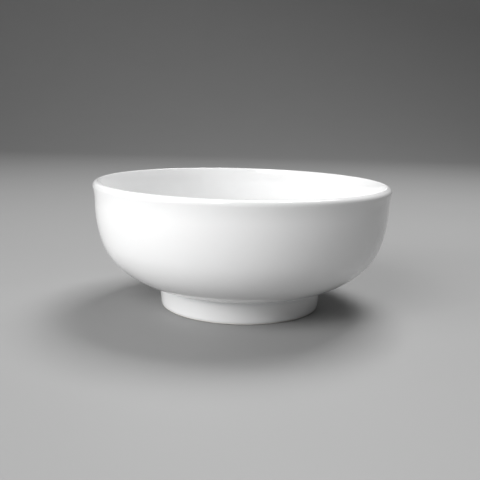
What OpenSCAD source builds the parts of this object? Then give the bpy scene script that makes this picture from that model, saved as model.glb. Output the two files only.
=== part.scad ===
// Deep porcelain serving bowl on a luted foot ring, glazed all over but for its bearing edge.
// Origin: centre of the circle that the foot ring stands on. +Z up, millimetres.
// Every piece is a turned shape, so each one is an outline of tangent arcs spun about Z.

/* [Rim] */
// Outside diameter of the bowl at its lip, the widest circle
rim_d = 230; // [214:1:238]
// Thickness of the wall where it meets the lip
lip_t = 4.8; // [4.6:0.1:5.4]
// Outer rounding of the lip, from its crest to the widest circle
lip_out_r = 3.4; // [2.8:0.1:3.5]
// Radius of the hollow curve below the lip that turns it outwards
flare_r = 49.5; // [46:0.5:55]
// How far the lip leans out from upright, in degrees
flare_a = 13.8; // [10:0.1:14.5]

/* [Bowl] */
// Height from the table to the top of the lip
bowl_h = 97.6; // [94:0.1:102]
// Radius of the upper wall
wall_r = 94; // [90:1:98]
// Angle at which the upper wall runs into the belly, in degrees
wall_a = 17.2; // [15:0.1:19]
// Radius of the belly, the tightest turn of the wall
belly_r = 47; // [44:0.5:50]
// Angle at which the belly runs into the underside, in degrees
belly_a = 54; // [51:0.5:57]
// Radius of the underside, which runs in over the foot ring and turns flat
base_r = 80.5; // [77:0.5:86]
// Thickness of the floor; the wall thins evenly from here up to the lip
floor_t = 5.4; // [5:0.1:6.4]

/* [Foot ring] */
// Diameter of the foot ring where its outer wall reaches the table
foot_d = 125; // [118:0.5:132]
// Width of the foot ring at the table
foot_w = 5; // [4:0.1:6.5]
// Lean of the foot ring's outer wall, wider upwards, in degrees
foot_out_a = 5.7; // [3:0.1:8]
// Lean of the foot ring's inner wall, narrower upwards, in degrees
foot_in_a = 3; // [1:0.1:6]
// Rounding of the two edges of the bearing face
foot_edge_r = 1; // [0.5:0.1:1.4]

/* [Luting slip] */
// Thickness of the bed of slip between the foot ring and the underside
slip_t = 0.5; // [0.3:0.1:0.8]
// Radius of the glazed hollow in the corner outside the foot ring
out_fillet_r = 1.6; // [1:0.1:2.2]
// Radius of the glazed hollow in the corner inside the foot ring
in_fillet_r = 3; // [1.5:0.1:4]

/* [Glaze] */
// Thickness of the fired glaze
glaze_t = 0.3; // [0.2:0.05:0.45]
// Height above the table at which the glaze was wiped off the foot ring
bare_h = 1.4; // [1.4:0.1:3]

/* [Hidden] */

biscuit = [0.93, 0.925, 0.91];
slip = [0.88, 0.875, 0.86];
glaze = [0.97, 0.97, 0.97];

// Flat sides of every spun shape, and how far an arc may stand off its chords
spin_sides = 180;
chord_gap = 0.02;

// Centres of the arcs, from the lip down, each on the line through the last joint
lip_c = [rim_d / 2 - lip_out_r, bowl_h - lip_out_r];
flare_c = lip_c + (flare_r + lip_out_r) * [cos(flare_a), -sin(flare_a)];
wall_c = flare_c - [flare_r + wall_r, 0];
belly_c = wall_c + (wall_r - belly_r) * [cos(wall_a), -sin(wall_a)];
base_c = belly_c + (belly_r - base_r) * [cos(belly_a), -sin(belly_a)];

// The inner rounding of the lip meets the outer one level at the crest and runs into the inside
inside_r = flare_r + lip_t;
crest_up = bowl_h - flare_c[1];
crest_in = flare_c[0] - lip_c[0];
lip_in_r = (pow(inside_r, 2) - pow(crest_in, 2) - pow(crest_up, 2)) / (2 * (inside_r - crest_up));
lip_in_c = [lip_c[0], bowl_h - lip_in_r];
lip_in_a = asin((crest_up - lip_in_r) / (inside_r - lip_in_r));

// The inside arcs have the outside centres moved out by the thinning of the wall
thinning = [floor_t - lip_t, 0];

// A foot wall: its point at the table, the direction up it and the direction out of it
out_foot = [foot_d / 2, 0];
out_up = [sin(foot_out_a), cos(foot_out_a)];
out_face = [cos(foot_out_a), -sin(foot_out_a)];
in_foot = [foot_d / 2 - foot_w, 0];
in_up = [-sin(foot_in_a), cos(foot_in_a)];
in_face = [-cos(foot_in_a), -sin(foot_in_a)];

// How far up from point p, along direction up, a line first meets a circle round base_c
function climb(p, up, radius) =
    let (q = p - base_c, along = q * up)
    -along - sqrt(along * along - q * q + radius * radius);
function direction(v) = atan2(v[1], v[0]);

// Fillet centres in the two corners under the bowl, and where they touch its underside
out_fillet_c = let (p = out_foot + out_fillet_r * out_face)
    p + climb(p, out_up, base_r + out_fillet_r) * out_up;
in_fillet_c = let (p = in_foot + in_fillet_r * in_face)
    p + climb(p, in_up, base_r + in_fillet_r) * in_up;
out_joint_a = direction(out_fillet_c - base_c);
in_joint_a = direction(in_fillet_c - base_c);

// Top corners of the foot ring, under its bed of slip
bed_r = base_r - glaze_t + slip_t;
out_top = let (p = out_foot - glaze_t * out_face) p + climb(p, out_up, bed_r) * out_up;
in_top = let (p = in_foot - glaze_t * in_face) p + climb(p, in_up, bed_r) * in_up;

// Points along an arc without its first one, which ends the stretch before it
function arc(centre, radius, from, to) =
    let (steps = ceil(abs(to - from) / (2 * acos(1 - chord_gap / radius))))
    [for (i = [1:steps])
        let (a = from + (to - from) * i / steps)
        centre + radius * [cos(a), sin(a)]];
function reversed(points) = [for (i = [len(points) - 1:-1:0]) points[i]];

// Outlines at a depth below the glazed surface: 0 is the glaze, glaze_t the biscuit under it
function crest(depth) = [[lip_c[0], bowl_h - depth]];
function side_line(depth) = concat(
    crest(depth),
    arc(lip_c, lip_out_r - depth, 90, -flare_a),
    arc(flare_c, flare_r + depth, 180 - flare_a, 180),
    arc(wall_c, wall_r - depth, 0, -wall_a),
    arc(belly_c, belly_r - depth, -wall_a, -belly_a),
    arc(base_c, base_r - depth, -belly_a, out_joint_a));
function inside_line(depth) = concat(
    crest(depth),
    arc(lip_in_c, lip_in_r - depth, 90, 180 - lip_in_a),
    arc(flare_c, inside_r - depth, 180 - lip_in_a, 180),
    arc(wall_c + thinning, wall_r - floor_t + depth, 0, -wall_a),
    arc(belly_c + thinning, belly_r - floor_t + depth, -wall_a, -belly_a),
    arc(base_c + thinning, base_r - floor_t + depth, -belly_a, -90),
    [[0, base_c[1] - base_r + floor_t - depth]]);
function bed_line(depth) = arc(base_c, base_r - depth, out_joint_a, in_joint_a);
function under_line(depth) = concat(
    arc(base_c, base_r - depth, in_joint_a, -90),
    [[0, base_c[1] - base_r + depth]]);
function out_fillet(depth) =
    arc(out_fillet_c, out_fillet_r + depth, 180 + out_joint_a, 180 - foot_out_a);
function in_fillet(depth) =
    arc(in_fillet_c, in_fillet_r + depth, 180 + in_joint_a, foot_in_a);
function joint_point(angle, depth) = [base_c + (base_r - depth) * [cos(angle), sin(angle)]];
function foot_top() = arc(base_c, bed_r, direction(out_top - base_c), direction(in_top - base_c));

// The glaze stops level, at bare_h, on either wall of the foot ring
function wiped_edge(foot, up, face, depth) =
    let (p = foot - depth * face) [p + (bare_h - p[1]) / up[1] * up];
function out_wiped(depth) = wiped_edge(out_foot, out_up, out_face, depth);
function in_wiped(depth) = wiped_edge(in_foot, in_up, in_face, depth);

// Centre of the rounding at the foot of a wall, which touches the table and the wall
function edge_c(foot, up, face) =
    let (p = foot - (glaze_t + foot_edge_r) * face) p + (foot_edge_r - p[1]) / up[1] * up;

module turned(outline) {
    rotate_extrude($fn = spin_sides) polygon(outline);
}

// Wall, lip and floor, jiggered from one slab of porcelain
module bowl_body() {
    color(biscuit) turned(concat(
        side_line(glaze_t),
        bed_line(glaze_t),
        under_line(glaze_t),
        reversed(inside_line(glaze_t))));
}

// Turned ring that the bowl stands on, with a bare bearing face between rounded edges
module foot_ring() {
    out_edge_c = edge_c(out_foot, out_up, out_face);
    in_edge_c = edge_c(in_foot, in_up, in_face);
    color(biscuit) turned(concat(
        [out_top, out_edge_c + foot_edge_r * out_face],
        arc(out_edge_c, foot_edge_r, -foot_out_a, -90),
        [in_edge_c - [0, foot_edge_r]],
        arc(in_edge_c, foot_edge_r, -90, -180 + foot_in_a),
        reversed(foot_top())));
}

// Slip that joins the ring to the underside: a thin bed, smoothed into both corners
module luting_slip() {
    color(slip) turned(concat(
        joint_point(out_joint_a, glaze_t),
        out_fillet(glaze_t),
        [out_top],
        foot_top(),
        reversed(in_fillet(glaze_t)),
        reversed(bed_line(glaze_t))));
}

// Liner glaze, poured inside and drained over the lip as far as its crest
module inner_glaze() {
    color(glaze) turned(concat(inside_line(0), reversed(inside_line(glaze_t))));
}

// Glaze dipped on outside, from the crest of the lip to the wiped line on the foot ring
module outer_glaze() {
    color(glaze) turned(concat(
        side_line(0),
        out_fillet(0),
        out_wiped(0),
        out_wiped(glaze_t),
        reversed(out_fillet(glaze_t)),
        reversed(side_line(glaze_t))));
}

// Glaze inside the foot ring, from its wiped line up over the underside
module recess_glaze() {
    color(glaze) turned(concat(
        in_wiped(0),
        reversed(in_fillet(0)),
        joint_point(in_joint_a, 0),
        under_line(0),
        reversed(under_line(glaze_t)),
        joint_point(in_joint_a, glaze_t),
        in_fillet(glaze_t),
        in_wiped(glaze_t)));
}

bowl_body();
foot_ring();
luting_slip();
inner_glaze();
outer_glaze();
recess_glaze();
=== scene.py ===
import math

import bmesh
import bpy
from bpy.props import FloatProperty, FloatVectorProperty, IntProperty, PointerProperty
from mathutils import Matrix, Vector


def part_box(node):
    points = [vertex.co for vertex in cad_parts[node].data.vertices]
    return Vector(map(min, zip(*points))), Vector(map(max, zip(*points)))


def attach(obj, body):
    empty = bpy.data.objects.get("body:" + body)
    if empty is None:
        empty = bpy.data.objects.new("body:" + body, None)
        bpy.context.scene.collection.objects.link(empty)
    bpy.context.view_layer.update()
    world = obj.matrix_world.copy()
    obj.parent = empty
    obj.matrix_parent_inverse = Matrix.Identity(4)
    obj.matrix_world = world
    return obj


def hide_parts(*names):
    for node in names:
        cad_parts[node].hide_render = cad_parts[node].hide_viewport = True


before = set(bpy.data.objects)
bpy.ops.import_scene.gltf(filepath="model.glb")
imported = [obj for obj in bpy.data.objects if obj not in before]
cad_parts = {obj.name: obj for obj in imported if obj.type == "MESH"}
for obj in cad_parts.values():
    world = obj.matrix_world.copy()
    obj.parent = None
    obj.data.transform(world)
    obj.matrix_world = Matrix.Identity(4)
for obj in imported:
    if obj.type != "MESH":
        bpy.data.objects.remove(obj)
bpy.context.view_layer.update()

bl_info = {
    "name": "Porcelain Serving Bowl",
    "version": (1, 0, 0),
    "blender": (4, 5, 0),
    "location": "3D View > Sidebar > Porcelain",
    "description": "A footed serving bowl turned in porcelain and coated with clear glaze",
    "category": "Add Mesh",
}

BODY = "root"
MM = 0.001
QUARTER = math.pi / 2

# An arc is drawn with edges no longer than this and no sharper than this
ARC_STEP = 1.6 * MM
ARC_TURN = math.radians(9)
MERGE = 0.001 * MM
# Edges that turn more than this stay crisp
CRISP = math.radians(35)

# Edges along the straight stretches of an outline
FLOOR_EDGES = 12
FOOT_EDGES = 8
BEARING_EDGES = 3

# How far pooled glaze reaches from the circles where it gathers
FLOOR_POOL = 30 * MM
OUTER_CORNER_POOL = 4 * MM
INNER_CORNER_POOL = 6 * MM
WIPED_POOL = 1.2 * MM

# How much of its second colour a finish takes on
CLOUD_SHARE = 0.10
POOL_SHARE = 0.55
SPECK_SHARE = 0.3
GRAIN_SHARE = 0.25
WEAR_SHARE = 0.6

# Heights of the unevenness in each surface
MICRON = 1e-6
GLAZE_RIPPLE = 6 * MICRON
GLAZE_PEEL = 0.4 * MICRON
CLAY_GRAIN = 6 * MICRON
TURNING_LINES = 5 * MICRON
SLIP_LUMPS = 20 * MICRON


# ---- Sizes, finishes and stage --------------------------------------------------------------


def length(name, description, millimetres):
    """A size, written in millimetres and kept in metres."""
    return FloatProperty(
        name=name, description=description, default=millimetres * MM,
        unit="LENGTH", subtype="DISTANCE", precision=5)


def angle(name, description, degrees):
    """An angle, written in degrees."""
    return FloatProperty(
        name=name, description=description, default=math.radians(degrees), subtype="ANGLE")


def colour(name, description, value):
    """A linear colour."""
    return FloatVectorProperty(
        name=name, description=description, default=value, size=3, min=0, max=1, subtype="COLOR")


def share(name, description, value):
    """A number from 0 to 1."""
    return FloatProperty(
        name=name, description=description, default=value, min=0, max=1, subtype="FACTOR")


def power(name, description, watts):
    """The power of a light."""
    return FloatProperty(
        name=name, description=description, default=watts, min=0, unit="POWER")


class BowlShape(bpy.types.PropertyGroup):
    """Sizes of the turned outline; the rim and the height come from the frame."""

    rim_radius: length("Rim radius", "Widest circle of the lip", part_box("outer_glaze")[1].x / MM)
    height: length("Height", "Table to the crest of the lip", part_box("outer_glaze")[1].z / MM)
    lip_thickness: length("Lip thickness", "Thickness of the wall where it meets the lip", 4.8)
    lip_radius: length("Lip rounding", "Outer rounding, from the crest to the widest circle", 3.4)
    flare_radius: length("Flare radius", "Hollow curve under the lip", 49.5)
    flare_lean: angle("Flare lean", "How far the lip leans outwards", 13.8)
    wall_radius: length("Wall radius", "Curve of the upper wall", 94)
    wall_angle: angle("Wall angle", "Where the wall runs into the belly", 17.2)
    belly_radius: length("Belly radius", "Tightest curve of the wall", 47)
    belly_angle: angle("Belly angle", "Where the belly runs into the underside", 54)
    base_radius: length("Underside radius", "Curve that runs in over the foot", 80.5)
    floor_thickness: length("Floor thickness", "Wall at its thickest", 5.4)
    foot_radius: length("Foot radius", "Outer wall of the foot ring at the table", 62.5)
    foot_width: length("Foot width", "Width of the foot ring at the table", 5)
    outer_lean: angle("Outer lean", "Foot ring's outer wall, wider upwards", 5.7)
    inner_lean: angle("Inner lean", "Foot ring's inner wall, narrower upwards", 3)
    foot_edge: length("Foot edge", "Rounding beside the bearing face", 1)
    slip_thickness: length("Slip bed", "Slip between foot ring and underside", 0.5)
    outer_fillet: length("Outer fillet", "Glazed hollow outside the foot ring", 1.6)
    inner_fillet: length("Inner fillet", "Glazed hollow inside the foot ring", 3)
    glaze_thickness: length("Glaze", "Thickness of the fired glaze", 0.3)
    wiped_height: length("Wiped height", "Where the glaze stops above the table", 1.4)
    sides: IntProperty(
        name="Turned sides", description="Sides of every turned piece", default=240, min=48)


class BowlFinish(bpy.types.PropertyGroup):
    """Colours and gloss of the porcelain."""

    glaze_colour: colour("Glazed white", "Porcelain seen through its glaze", (0.86, 0.86, 0.86))
    pooled_colour: colour("Pooled glaze", "Glaze where it runs thick", (0.76, 0.78, 0.785))
    speck_colour: colour("Specks", "Iron specks under the glaze", (0.48, 0.45, 0.41))
    biscuit_colour: colour("Biscuit", "Bare fired porcelain", (0.76, 0.745, 0.72))
    worn_colour: colour("Table wear", "Grey rubbed into the bearing face", (0.36, 0.34, 0.32))
    slip_colour: colour("Slip", "Fired slip in the joint", (0.70, 0.685, 0.66))
    gloss: share("Glaze roughness", "Blur of the glaze's reflections", 0.06)


class BowlStage(bpy.types.PropertyGroup):
    """Camera, lights and floor."""

    camera_distance: length("Camera distance", "In front of the bowl's axis", 544.3)
    camera_height: length("Camera height", "Above the table", 155.8)
    camera_tilt: angle("Camera tilt", "Below level", 10.95)
    camera_swing: angle("Camera swing", "To the right of the bowl's axis", -0.09)
    camera_roll: angle("Camera roll", "Right side raised", 1.472)
    lens: FloatProperty(
        name="Lens", description="Focal length in millimetres on a 36 mm sensor", default=52.3)
    floor_colour: colour("Floor", "Plain pale floor", (0.34, 0.34, 0.34))
    light_size: length("Softbox size", "Side of each square softbox", 800)
    light_distance: length("Softbox distance", "From the middle of the bowl", 1600)
    light_height: length("Light aim", "Height above the table that the softboxes face", 60)
    side_power: power("Side light", "Low softbox to the left", 15.2)
    front_power: power("Front light", "Raised softbox to the front left", 13.2)
    top_power: power("Top light", "High softbox behind the bowl, to the right", 24.6)
    room_light: FloatProperty(
        name="Room light", description="Strength of the even room light", default=0.118)


# ---- Turned shapes --------------------------------------------------------------------------


class Outline:
    """A chain of edges in the plane of X and Z, drawn on from its last vertex."""

    def __init__(self, start):
        self.mesh = bmesh.new()
        self.tip = self.mesh.verts.new((start.x, 0, start.y))

    def line(self, end, edges=1):
        """Straight on to a point, in so many equal edges."""
        start = Vector((self.tip.co.x, self.tip.co.z))
        for number in range(1, edges + 1):
            drawn = bmesh.ops.extrude_vert_indiv(self.mesh, verts=[self.tip])
            self.tip = drawn["verts"][0]
            stop = start.lerp(end, number / edges)
            self.tip.co = (stop.x, 0, stop.y)

    def arc(self, centre, turn):
        """Round a centre; a positive turn runs clockwise, seen from the front."""
        pivot = Vector((centre.x, 0, centre.y))
        radius = (self.tip.co - pivot).length
        steps = math.ceil(max(abs(turn) * radius / ARC_STEP, abs(turn) / ARC_TURN))
        drawn = bmesh.ops.spin(
            self.mesh, geom=[self.tip], cent=pivot, axis=(0, 1, 0), angle=turn, steps=steps)
        self.tip = drawn["geom_last"][0]

    def follow(self, path):
        """Along a path's arcs, one after another."""
        for centre, turn in path:
            self.arc(centre, turn)

    def retrace(self, path):
        """Back along a path, from its end to its start."""
        for centre, turn in reversed(path):
            self.arc(centre, -turn)

    def turned(self, name, sides):
        """The closed shape that the chain sweeps round the Z axis, as an object."""
        bmesh.ops.spin(
            self.mesh, geom=self.mesh.verts[:] + self.mesh.edges[:], cent=(0, 0, 0),
            axis=(0, 0, 1), angle=math.tau, steps=sides, use_merge=True)
        bmesh.ops.remove_doubles(self.mesh, verts=self.mesh.verts[:], dist=MERGE)
        bmesh.ops.recalc_face_normals(self.mesh, faces=self.mesh.faces[:])
        for face in self.mesh.faces:
            face.smooth = True
        for edge in self.mesh.edges:
            edge.smooth = edge.calc_face_angle(0) < CRISP
        return as_object(self.mesh, name)


def as_object(mesh, name):
    """Put a finished bmesh in the scene."""
    data = bpy.data.meshes.new(name)
    mesh.to_mesh(data)
    mesh.free()
    made = bpy.data.objects.new(name, data)
    bpy.context.scene.collection.objects.link(made)
    return made


def towards(turn):
    """Unit vector in the outline's plane: 0 points out, a quarter turn points up."""
    return Vector((math.cos(turn), math.sin(turn)))


class FootWall:
    """One wall of the foot ring: where it meets the table, and which way it runs and faces.

    Its side is 1 on the outside of the ring and -1 on the inside.
    """

    def __init__(self, radius, up, face, side):
        self.foot = Vector((radius, 0))
        self.up = towards(up)
        self.face = towards(face)
        self.side = side

    def at_height(self, height, depth):
        """Point of the wall at a height, below the glazed surface by a depth."""
        start = self.foot - depth * self.face
        return start + (height - start.y) / self.up.y * self.up


class Turning:
    """The bowl's outline as tangent arcs, worked out from its sizes.

    A path is a list of (centre, turn). Outlines at every depth under the glazed surface share
    their centres, so one path draws the face of the glaze and the porcelain under it.
    """

    def __init__(self, shape):
        self.shape = shape
        self.glaze = shape.glaze_thickness
        lean, wall, belly = shape.flare_lean, shape.wall_angle, shape.belly_angle
        lip_c = Vector((shape.rim_radius - shape.lip_radius, shape.height - shape.lip_radius))
        flare_c = lip_c + (shape.flare_radius + shape.lip_radius) * towards(-lean)
        self.crest_top = Vector((lip_c.x, shape.height))

        # The inner rounding meets the outer one level at the crest and touches the inside wall
        reach = shape.flare_radius + shape.lip_thickness
        crest_up = shape.height - flare_c.y
        inner_lip = (reach**2 - (flare_c.x - lip_c.x)**2 - crest_up**2) / (2 * (reach - crest_up))
        inner_lip_c = self.crest_top - Vector((0, inner_lip))
        inner_lean = math.asin((inner_lip_c.y - flare_c.y) / (reach - inner_lip))
        wall_c = flare_c - Vector((shape.flare_radius + shape.wall_radius, 0))
        belly_c = wall_c + (shape.wall_radius - shape.belly_radius) * towards(-wall)
        self.base_c = belly_c + (shape.belly_radius - shape.base_radius) * towards(-belly)
        self.base = shape.base_radius
        self.under_z = self.base_c.y - self.base
        self.floor_z = self.under_z + shape.floor_thickness

        # The inside arcs have the outside centres moved out by the thinning of the wall
        thinning = Vector((shape.floor_thickness - shape.lip_thickness, 0))
        self.floor_edge = self.base_c.x + thinning.x

        self.outer = FootWall(
            shape.foot_radius, QUARTER - shape.outer_lean, -shape.outer_lean, 1)
        self.inner = FootWall(
            shape.foot_radius - shape.foot_width, QUARTER + shape.inner_lean,
            math.pi + shape.inner_lean, -1)
        outer_c = self.climb(self.outer, -shape.outer_fillet, self.base + shape.outer_fillet)
        inner_c = self.climb(self.inner, -shape.inner_fillet, self.base + shape.inner_fillet)
        self.outer_fillet_c, self.inner_fillet_c = outer_c, inner_c
        self.outer_joint = -self.bearing(outer_c)
        self.inner_joint = -self.bearing(inner_c)

        # Underside of the slip bed, where the foot ring ends
        bed = self.base - self.glaze + shape.slip_thickness
        self.outer_top = self.climb(self.outer, self.glaze, bed)
        self.inner_top = self.climb(self.inner, self.glaze, bed)

        self.side = [
            (lip_c, QUARTER + lean), (flare_c, -lean), (wall_c, wall),
            (belly_c, belly - wall), (self.base_c, self.outer_joint - belly)]
        self.inside = [
            (inner_lip_c, inner_lean - QUARTER), (flare_c, -inner_lean),
            (wall_c + thinning, wall),
            (belly_c + thinning, belly - wall), (self.base_c + thinning, QUARTER - belly)]
        self.bed = [(self.base_c, self.inner_joint - self.outer_joint)]
        self.under = [(self.base_c, QUARTER - self.inner_joint)]
        self.outer_corner = [(outer_c, shape.outer_lean - self.outer_joint)]
        self.inner_corner = [(inner_c, math.pi - self.inner_joint - shape.inner_lean)]
        self.ring_top = [
            (self.base_c, self.bearing(self.outer_top) - self.bearing(self.inner_top))]

    def climb(self, wall, depth, radius):
        """Where a wall, at a depth below its glaze, first meets a circle round base_c."""
        start = wall.foot - depth * wall.face
        offset = start - self.base_c
        along = offset.dot(wall.up)
        rise = -along - math.sqrt(along**2 - offset.length_squared + radius**2)
        return start + rise * wall.up

    def bearing(self, point):
        """Direction of a point from the centre of the underside's curve."""
        offset = point - self.base_c
        return math.atan2(offset.y, offset.x)

    def crest(self, depth):
        """Top of the lip."""
        return self.crest_top - Vector((0, depth))

    def joint(self, bearing, depth):
        """Point on the underside."""
        return self.base_c + (self.base - depth) * towards(-bearing)

    def wiped_line(self, wall):
        """Where the glaze was wiped off a wall of the foot ring."""
        return wall.at_height(self.shape.wiped_height, 0)

    def wiped_edge(self, outline, wall):
        """Down a glazed wall, round the glaze's thick edge and on to the clay behind it."""
        clay = wall.at_height(self.shape.wiped_height + self.glaze, self.glaze)
        outline.line(clay + self.glaze * wall.face, FOOT_EDGES)
        outline.arc(clay, wall.side * QUARTER)

    def fillet_start(self, wall, centre, fillet):
        """Where a corner's fillet in the clay leaves the wall."""
        return centre - (fillet + self.glaze) * wall.face


def bowl_body(turning, name):
    """Wall, lip and floor under the glaze."""
    depth = turning.glaze
    outline = Outline(Vector((0, turning.floor_z - depth)))
    outline.line(Vector((turning.floor_edge, turning.floor_z - depth)), FLOOR_EDGES)
    outline.retrace(turning.inside)
    outline.follow(turning.side + turning.bed + turning.under)
    outline.line(Vector((0, turning.under_z + depth)), FLOOR_EDGES)
    return outline.turned(name, turning.shape.sides)


def foot_ring(turning, name):
    """The ring that the bowl stands on, with its bearing face between rounded edges."""
    edge = turning.shape.foot_edge
    outer_c = turning.outer.at_height(edge, turning.glaze + edge)
    inner_c = turning.inner.at_height(edge, turning.glaze + edge)
    outline = Outline(turning.outer_top)
    outline.line(outer_c + edge * turning.outer.face, FOOT_EDGES)
    outline.arc(outer_c, QUARTER - turning.shape.outer_lean)
    outline.line(Vector((inner_c.x, 0)), BEARING_EDGES)
    outline.arc(inner_c, QUARTER - turning.shape.inner_lean)
    outline.line(turning.inner_top, FOOT_EDGES)
    outline.retrace(turning.ring_top)
    return outline.turned(name, turning.shape.sides)


def luting_slip(turning, name):
    """The bed of slip over the foot ring and the fillets in both corners."""
    shape = turning.shape
    outline = Outline(turning.joint(turning.outer_joint, turning.glaze))
    outline.follow(turning.outer_corner)
    outline.line(turning.outer_top)
    outline.follow(turning.ring_top)
    outline.line(turning.fillet_start(turning.inner, turning.inner_fillet_c, shape.inner_fillet))
    outline.retrace(turning.bed + turning.inner_corner)
    return outline.turned(name, shape.sides)


def inner_glaze(turning, name):
    """Liner glaze, from the middle of the floor up to the crest of the lip."""
    outline = Outline(Vector((0, turning.floor_z)))
    outline.line(Vector((turning.floor_edge, turning.floor_z)), FLOOR_EDGES)
    outline.retrace(turning.inside)
    outline.line(turning.crest(turning.glaze))
    outline.follow(turning.inside)
    outline.line(Vector((0, turning.floor_z - turning.glaze)), FLOOR_EDGES)
    return outline.turned(name, turning.shape.sides)


def outer_glaze(turning, name):
    """Outside glaze, from the crest of the lip to its wiped edge on the foot ring."""
    shape = turning.shape
    outline = Outline(turning.crest(0))
    outline.follow(turning.side + turning.outer_corner)
    turning.wiped_edge(outline, turning.outer)
    outline.line(
        turning.fillet_start(turning.outer, turning.outer_fillet_c, shape.outer_fillet),
        FOOT_EDGES)
    outline.retrace(turning.side + turning.outer_corner)
    outline.line(turning.crest(0))
    return outline.turned(name, shape.sides)


def recess_glaze(turning, name):
    """Glaze inside the foot ring, from its wiped edge over the underside."""
    shape = turning.shape
    outline = Outline(Vector((0, turning.under_z)))
    outline.line(Vector((turning.base_c.x, turning.under_z)), FLOOR_EDGES)
    outline.retrace(turning.under)
    outline.follow(turning.inner_corner)
    turning.wiped_edge(outline, turning.inner)
    outline.line(
        turning.fillet_start(turning.inner, turning.inner_fillet_c, shape.inner_fillet),
        FOOT_EDGES)
    outline.retrace(turning.inner_corner)
    outline.follow(turning.under)
    outline.line(Vector((0, turning.under_z + turning.glaze)), FLOOR_EDGES)
    return outline.turned(name, shape.sides)


# ---- Finishes -------------------------------------------------------------------------------


class Value:
    """A shader socket that takes part in sums; each sign adds a Math node."""

    def __init__(self, shader, node, socket):
        self.shader = shader
        self.node = node
        self.socket = socket

    def output(self, name):
        """Another output of the same node."""
        return Value(self.shader, self.node, self.shader.socket(self.node.outputs, name))

    def maths(self, operation, first, second):
        return self.shader.add("ShaderNodeMath", {"operation": operation}, {0: first, 1: second})

    def __add__(self, other):
        return self.maths("ADD", self, other)

    __radd__ = __add__

    def __sub__(self, other):
        return self.maths("SUBTRACT", self, other)

    def __rsub__(self, other):
        return self.maths("SUBTRACT", other, self)

    def __mul__(self, other):
        return self.maths("MULTIPLY", self, other)

    __rmul__ = __mul__

    def __pow__(self, other):
        return self.maths("POWER", self, other)


class Shader:
    """A material under construction."""

    def __init__(self, name):
        self.material = bpy.data.materials.new(name)
        self.material.use_nodes = True
        self.tree = self.material.node_tree
        self.tree.nodes.clear()

    @staticmethod
    def socket(sockets, key):
        """A socket by number, name or identifier."""
        if isinstance(key, int):
            return sockets[key]
        return next(s for s in sockets if key in (s.identifier, s.name))

    def add(self, kind, settings=None, inputs=None):
        """A node of a kind, with its settings made first and its sockets set or linked."""
        node = self.tree.nodes.new(kind)
        for name, setting in (settings or {}).items():
            setattr(node, name, setting)
        for key, value in (inputs or {}).items():
            target = self.socket(node.inputs, key)
            if isinstance(value, Value):
                self.tree.links.new(value.socket, target)
            else:
                target.default_value = value
        return Value(self, node, node.outputs[0] if node.outputs else None)

    def noise(self, place, per_metre, detail=2.0):
        """Smooth noise from 0 to 1, with so many features to the metre."""
        return self.add(
            "ShaderNodeTexNoise", inputs={"Vector": place, "Scale": per_metre, "Detail": detail})

    def fade(self, value, start, end):
        """1 at the start value and 0 at the end value, with soft ends."""
        return self.add(
            "ShaderNodeMapRange", {"interpolation_type": "SMOOTHSTEP"},
            {"Value": value, "From Min": start, "From Max": end, "To Min": 1.0, "To Max": 0.0})

    def mix(self, factor, first, second):
        """From the first colour to the second."""
        return self.add(
            "ShaderNodeMix", {"data_type": "RGBA"},
            {"Factor_Float": factor, "A_Color": first, "B_Color": second}).output("Result_Color")

    def bump(self, height):
        """A normal from a height in metres."""
        return self.add("ShaderNodeBump", inputs={"Height": height, "Distance": 1.0})

    def surface(self, **inputs):
        """Finish with a Principled surface; underscores in socket names stand for spaces."""
        named = {key.replace("_", " "): value for key, value in inputs.items()}
        shade = self.add("ShaderNodeBsdfPrincipled", inputs=named)
        self.add("ShaderNodeOutputMaterial", inputs={"Surface": shade})
        return self.material


def opaque(rgb):
    """A colour socket's four numbers."""
    return (*rgb, 1.0)


def round_places(shader):
    """Place on the object, and its distance from the axis and height."""
    place = shader.add("ShaderNodeTexCoord").output("Object")
    x = shader.add("ShaderNodeSeparateXYZ", inputs={"Vector": place})
    y = x.output("Y")
    radius = (x * x + y * y) ** 0.5
    return place, radius, x.output("Z")


def ring_distance(radius, height, ring):
    """Distance to a circle round the axis, given as (its radius, its height)."""
    across = radius - ring.x
    up = height - ring.y
    return (across * across + up * up) ** 0.5


def glaze_material(name, finish, pools):
    """Clear glaze on white porcelain, greyer where it pools in the corners given."""
    shader = Shader(name)
    place, radius, height = round_places(shader)
    pooled = CLOUD_SHARE * shader.noise(place, per_metre=55.0)
    for ring, reach in pools:
        pool = shader.fade(ring_distance(radius, height, ring), start=0.3 * reach, end=reach)
        pooled = pooled + POOL_SHARE * pool
    white = shader.mix(pooled, opaque(finish.glaze_colour), opaque(finish.pooled_colour))
    speck = shader.add("ShaderNodeTexVoronoi", inputs={"Vector": place, "Scale": 120.0})
    dark = SPECK_SHARE * shader.fade(speck, start=0.012, end=0.026)
    ripple = shader.noise(place, per_metre=38.0, detail=1.0)
    peel = shader.noise(place, per_metre=290.0)
    return shader.surface(
        Base_Color=shader.mix(dark, white, opaque(finish.speck_colour)),
        Roughness=finish.gloss + 0.03 * shader.noise(place, per_metre=90.0),
        IOR=1.5,
        Normal=shader.bump(GLAZE_RIPPLE * ripple + GLAZE_PEEL * peel))


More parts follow.
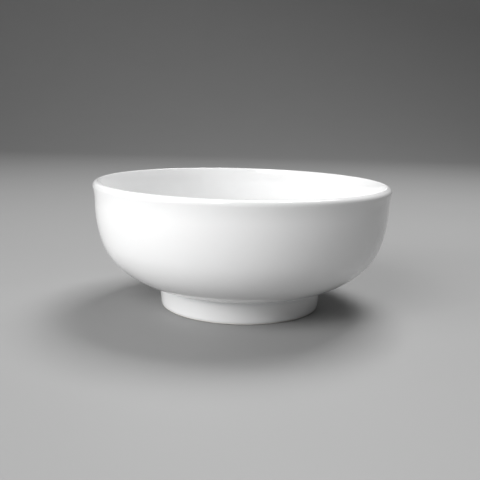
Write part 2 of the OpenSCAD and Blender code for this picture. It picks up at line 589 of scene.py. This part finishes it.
def biscuit_material(name, finish):
    """Bare fired porcelain with fine turning lines, rubbed grey where it meets the table."""
    shader = Shader(name)
    place, radius, height = round_places(shader)
    grain = shader.noise(place, per_metre=2600.0, detail=3.0)
    patch = shader.noise(place, per_metre=140.0)
    lines = shader.add(
        "ShaderNodeTexNoise", {"noise_dimensions": "1D"}, {"W": radius, "Scale": 2400.0})
    low = shader.fade(height, start=0.1 * MM, end=0.8 * MM)
    rubbed = low * shader.fade(patch, start=0.66, end=0.36)
    tone = shader.mix(
        GRAIN_SHARE * grain, opaque(finish.biscuit_colour), opaque(finish.slip_colour))
    return shader.surface(
        Base_Color=shader.mix(WEAR_SHARE * rubbed, tone, opaque(finish.worn_colour)),
        Roughness=0.72 - 0.2 * rubbed,
        Normal=shader.bump(CLAY_GRAIN * grain + TURNING_LINES * lines))


def slip_material(name, finish):
    """Fired slip, coarser than the turned clay round it."""
    shader = Shader(name)
    place = shader.add("ShaderNodeTexCoord").output("Object")
    lumps = shader.noise(place, per_metre=700.0, detail=4.0)
    return shader.surface(
        Base_Color=shader.mix(lumps, opaque(finish.slip_colour), opaque(finish.biscuit_colour)),
        Roughness=0.8,
        Normal=shader.bump(SLIP_LUMPS * lumps))


def floor_material(name, tone):
    """Plain pale floor with a trace of unevenness."""
    shader = Shader(name)
    place = shader.add("ShaderNodeTexCoord").output("Object")
    darker = tuple(0.97 * part for part in tone)
    cloud = shader.noise(place, per_metre=9.0)
    return shader.surface(
        Base_Color=shader.mix(cloud, opaque(tone), opaque(darker)),
        Roughness=0.6)


# ---- Operators ------------------------------------------------------------------------------


def dress(made, material, node):
    """Give a piece its material, ride it on the bowl's body and let it stand for its node."""
    made.data.materials.append(material)
    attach(made, BODY)
    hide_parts(node)


class PORCELAIN_OT_bowl_body(bpy.types.Operator):
    """Turn the wall, lip and floor"""

    bl_idname = "porcelain.bowl_body"
    bl_label = "Bowl body"
    bl_options = {"REGISTER", "UNDO"}

    def execute(self, context):
        made = bowl_body(Turning(context.scene.bowl_shape), "porcelain_body")
        material = biscuit_material("body_biscuit", context.scene.bowl_finish)
        dress(made, material, "bowl_body")
        return {"FINISHED"}


class PORCELAIN_OT_foot_ring(bpy.types.Operator):
    """Turn the ring that the bowl stands on"""

    bl_idname = "porcelain.foot_ring"
    bl_label = "Foot ring"
    bl_options = {"REGISTER", "UNDO"}

    def execute(self, context):
        made = foot_ring(Turning(context.scene.bowl_shape), "porcelain_foot_ring")
        material = biscuit_material("foot_biscuit", context.scene.bowl_finish)
        dress(made, material, "foot_ring")
        return {"FINISHED"}


class PORCELAIN_OT_luting_slip(bpy.types.Operator):
    """Lay the slip that joins the foot ring to the bowl"""

    bl_idname = "porcelain.luting_slip"
    bl_label = "Luting slip"
    bl_options = {"REGISTER", "UNDO"}

    def execute(self, context):
        made = luting_slip(Turning(context.scene.bowl_shape), "slip_joint")
        material = slip_material("slip", context.scene.bowl_finish)
        dress(made, material, "luting_slip")
        return {"FINISHED"}


class PORCELAIN_OT_inner_glaze(bpy.types.Operator):
    """Pour the liner glaze"""

    bl_idname = "porcelain.inner_glaze"
    bl_label = "Inner glaze"
    bl_options = {"REGISTER", "UNDO"}

    def execute(self, context):
        turning = Turning(context.scene.bowl_shape)
        pools = [(Vector((turning.floor_edge, turning.floor_z)), FLOOR_POOL)]
        material = glaze_material("liner", context.scene.bowl_finish, pools)
        dress(inner_glaze(turning, "liner_glaze"), material, "inner_glaze")
        return {"FINISHED"}


class PORCELAIN_OT_outer_glaze(bpy.types.Operator):
    """Dip the outside"""

    bl_idname = "porcelain.outer_glaze"
    bl_label = "Outer glaze"
    bl_options = {"REGISTER", "UNDO"}

    def execute(self, context):
        turning = Turning(context.scene.bowl_shape)
        pools = [(turning.joint(turning.outer_joint, 0), OUTER_CORNER_POOL),
                 (turning.wiped_line(turning.outer), WIPED_POOL)]
        material = glaze_material("outside", context.scene.bowl_finish, pools)
        dress(outer_glaze(turning, "outside_glaze"), material, "outer_glaze")
        return {"FINISHED"}


class PORCELAIN_OT_recess_glaze(bpy.types.Operator):
    """Glaze the recess inside the foot ring"""

    bl_idname = "porcelain.recess_glaze"
    bl_label = "Recess glaze"
    bl_options = {"REGISTER", "UNDO"}

    def execute(self, context):
        turning = Turning(context.scene.bowl_shape)
        pools = [(turning.joint(turning.inner_joint, 0), INNER_CORNER_POOL),
                 (turning.wiped_line(turning.inner), WIPED_POOL)]
        material = glaze_material("recess", context.scene.bowl_finish, pools)
        dress(recess_glaze(turning, "recess_coat"), material, "recess_glaze")
        return {"FINISHED"}


def softbox(name, stage, watts, swing, rise):
    """A square area light that faces the bowl, swung right of its front and raised, in degrees."""
    data = bpy.data.lights.new(name, "AREA")
    data.shape = "SQUARE"
    data.size = stage.light_size
    data.energy = watts
    made = bpy.data.objects.new(name, data)
    bpy.context.scene.collection.objects.link(made)
    made.matrix_world = (
        Matrix.Translation((0, 0, stage.light_height))
        @ Matrix.Rotation(math.radians(swing), 4, "Z")
        @ Matrix.Rotation(QUARTER - math.radians(rise), 4, "X")
        @ Matrix.Translation((0, 0, stage.light_distance)))
    made.visible_camera = False


class PORCELAIN_OT_stage(bpy.types.Operator):
    """Lay the floor and set up the lights and the camera"""

    bl_idname = "porcelain.stage"
    bl_label = "Stage"
    bl_options = {"REGISTER", "UNDO"}

    def execute(self, context):
        stage = context.scene.bowl_stage
        self.floor(stage)
        self.lights(context.scene, stage)
        self.camera(context.scene, stage)
        context.scene.view_settings.view_transform = "Standard"
        return {"FINISHED"}

    def floor(self, stage):
        """A sweep that runs level under the bowl and curves up far behind it."""
        half_width, front, back, bend, top = 4.0, -3.0, 1.6, 1.2, 3.4
        outline = Outline(Vector((front, 0)))
        outline.line(Vector((back, 0)), edges=4)
        outline.arc(Vector((back, bend)), -QUARTER)
        outline.line(Vector((back + bend, top)))
        mesh = outline.mesh
        swept = bmesh.ops.extrude_edge_only(mesh, edges=mesh.edges[:])
        ends = [part for part in swept["geom"] if isinstance(part, bmesh.types.BMVert)]
        bmesh.ops.translate(mesh, verts=ends, vec=(0, 2 * half_width, 0))
        bmesh.ops.translate(mesh, verts=mesh.verts[:], vec=(0, -half_width, 0))
        bmesh.ops.rotate(
            mesh, verts=mesh.verts[:], cent=(0, 0, 0), matrix=Matrix.Rotation(QUARTER, 3, "Z"))
        bmesh.ops.recalc_face_normals(mesh, faces=mesh.faces[:])
        for face in mesh.faces:
            face.smooth = True
        sweep = as_object(mesh, "floor_sweep")
        sweep.data.materials.append(floor_material("pale_floor", stage.floor_colour))

    def lights(self, scene, stage):
        """A low softbox at the left, one raised at the front, one high behind, and room light."""
        softbox("side_softbox", stage, stage.side_power, swing=-60, rise=12)
        softbox("front_softbox", stage, stage.front_power, swing=-30, rise=38)
        softbox("top_softbox", stage, stage.top_power, swing=150, rise=65)
        room = bpy.data.worlds.new("room")
        room.use_nodes = True
        sky = room.node_tree.nodes["Background"]
        sky.inputs["Color"].default_value = opaque((1, 1, 1))
        sky.inputs["Strength"].default_value = stage.room_light
        scene.world = room

    def camera(self, scene, stage):
        """The camera stands in front of the bowl and looks slightly down on it."""
        data = bpy.data.cameras.new("camera")
        data.lens = stage.lens
        data.sensor_width = 36.0
        made = bpy.data.objects.new("camera", data)
        scene.collection.objects.link(made)
        made.matrix_world = (
            Matrix.Translation((0, -stage.camera_distance, stage.camera_height))
            @ Matrix.Rotation(-stage.camera_swing, 4, "Z")
            @ Matrix.Rotation(QUARTER - stage.camera_tilt, 4, "X")
            @ Matrix.Rotation(stage.camera_roll, 4, "Z"))
        scene.camera = made


PIECES = (
    PORCELAIN_OT_bowl_body,
    PORCELAIN_OT_foot_ring,
    PORCELAIN_OT_luting_slip,
    PORCELAIN_OT_inner_glaze,
    PORCELAIN_OT_outer_glaze,
    PORCELAIN_OT_recess_glaze,
    PORCELAIN_OT_stage,
)


class PORCELAIN_PT_sidebar(bpy.types.Panel):
    """Lists the bowl's pieces and its stage"""

    bl_idname = "PORCELAIN_PT_sidebar"
    bl_label = "Porcelain Serving Bowl"
    bl_space_type = "VIEW_3D"
    bl_region_type = "UI"
    bl_category = "Porcelain"

    def draw(self, context):
        for group in (context.scene.bowl_shape, context.scene.bowl_finish, context.scene.bowl_stage):
            box = self.layout.box()
            for name in group.__annotations__:
                box.prop(group, name)
        for piece in PIECES:
            self.layout.operator(piece.bl_idname)


CLASSES = (BowlShape, BowlFinish, BowlStage, *PIECES, PORCELAIN_PT_sidebar)


def register():
    """Add the classes and the scene's settings."""
    for item in CLASSES:
        bpy.utils.register_class(item)
    bpy.types.Scene.bowl_shape = PointerProperty(type=BowlShape)
    bpy.types.Scene.bowl_finish = PointerProperty(type=BowlFinish)
    bpy.types.Scene.bowl_stage = PointerProperty(type=BowlStage)


def unregister():
    """Take them away again."""
    del bpy.types.Scene.bowl_stage
    del bpy.types.Scene.bowl_finish
    del bpy.types.Scene.bowl_shape
    for item in reversed(CLASSES):
        bpy.utils.unregister_class(item)


def main():
    """Build the bowl and its stage."""
    register()
    for piece in PIECES:
        group, action = piece.bl_idname.split(".")
        getattr(getattr(bpy.ops, group), action)()


if __name__ == "__main__":
    main()
